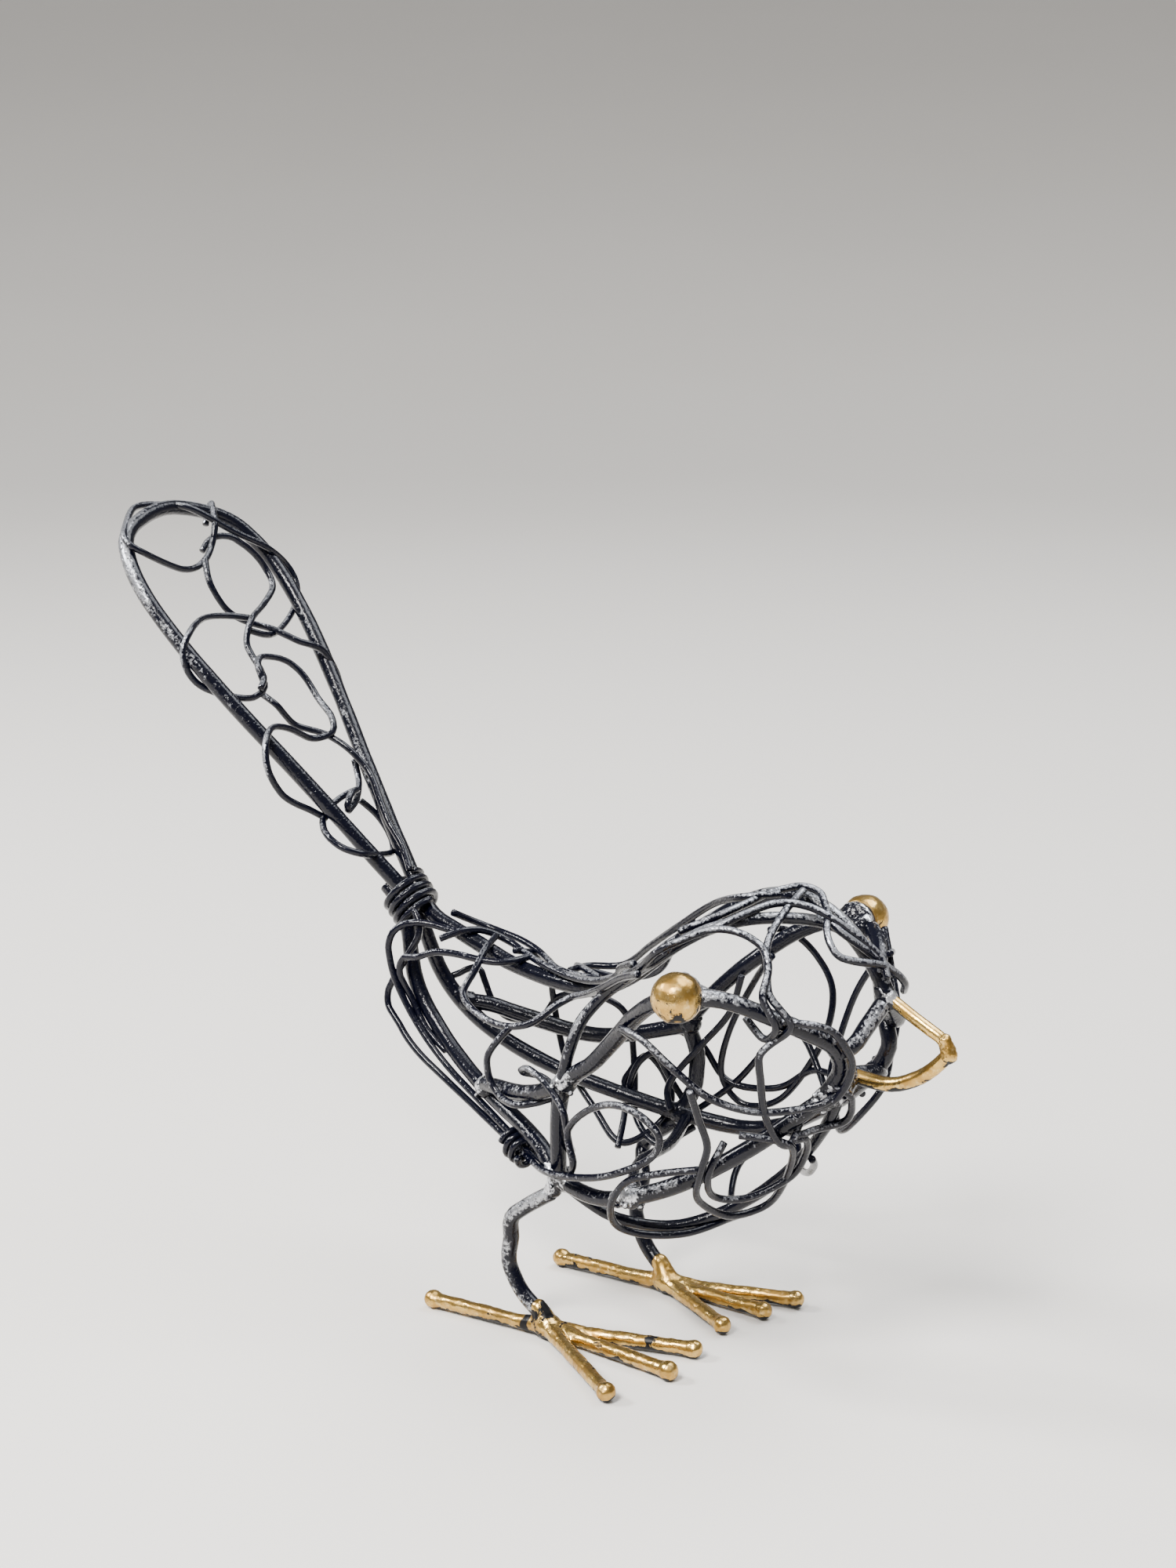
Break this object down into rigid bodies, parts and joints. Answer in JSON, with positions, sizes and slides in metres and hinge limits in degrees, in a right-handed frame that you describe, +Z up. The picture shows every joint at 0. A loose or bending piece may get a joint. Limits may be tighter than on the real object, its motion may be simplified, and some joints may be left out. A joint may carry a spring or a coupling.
{
  "type": "wire sculpture of a small bird",
  "caption": "Standing wire wren with a cocked tail hoop, bent and welded from steel rod, laced with thin wire, with ball eyes, a wire beak and rod feet.",
  "frame": {"origin": "on the ground below the middle of the bird's bounding box", "axes": "+X the way the beak points, +Y the bird's left, +Z up"},
  "size_m": [0.1595, 0.061, 0.1249],
  "materials": {
    "frame_rod": "black paint dry-brushed with silver, worn",
    "lacing_wire": "black paint dry-brushed with silver on the upper side",
    "weld_beads": "lumpy weld, black paint rubbed with silver",
    "gold_paint": "antique gold paint, rubbed and chipped to black"
  },
  "bodies": {
    "root": {"tail_hoop": "frame_rod", "spine_rod": "frame_rod", "right_lower_rail": "frame_rod", "left_lower_rail": "frame_rod", "right_eye_loop": "frame_rod", "left_eye_loop": "frame_rod", "right_flank_strut": "frame_rod", "left_flank_strut": "frame_rod", "nape_rod": "frame_rod", "belly_rod": "frame_rod", "cross_tie": "frame_rod", "right_mouth_rod": "frame_rod", "left_mouth_rod": "frame_rod", "frame_welds": "weld_beads", "right_eye": "gold_paint", "left_eye": "gold_paint", "beak_upper_wire": "gold_paint", "beak_lower_wire": "gold_paint", "beak_tip_blob": "gold_paint", "right_leg": "frame_rod", "left_leg": "frame_rod", "right_ankle_weld": "gold_paint", "left_ankle_weld": "gold_paint", "right_toes": "gold_paint", "left_toes": "gold_paint", "tail_binding_coil": "lacing_wire", "tail_tip_lace": "lacing_wire", "tail_upper_lace": "lacing_wire", "tail_link_lace": "lacing_wire", "tail_middle_lace": "lacing_wire", "tail_lower_lace": "lacing_wire", "tail_root_lace": "lacing_wire", "rump_lace": "lacing_wire", "rump_hook_lace": "lacing_wire", "rump_arc_lace": "lacing_wire", "back_lace": "lacing_wire", "back_loop_lace": "lacing_wire", "right_scroll_lace": "lacing_wire", "right_flank_lace": "lacing_wire", "nape_lace": "lacing_wire", "crown_lace": "lacing_wire", "crown_side_lace": "lacing_wire", "brow_arc_lace": "lacing_wire", "right_cheek_lace": "lacing_wire", "chin_lace": "lacing_wire", "right_sweep_lace": "lacing_wire", "breast_lace": "lacing_wire", "breast_side_lace": "lacing_wire", "belly_lace": "lacing_wire", "brow_curl_lace": "lacing_wire", "left_flank_lace": "lacing_wire", "left_wing_lace": "lacing_wire", "left_cheek_lace": "lacing_wire", "left_breast_lace": "lacing_wire", "left_rising_lace": "lacing_wire", "left_zigzag_lace": "lacing_wire", "left_fork_lace": "lacing_wire", "left_crossing_lace": "lacing_wire", "leg_root_lace": "lacing_wire"}
  },
  "joints": []
}
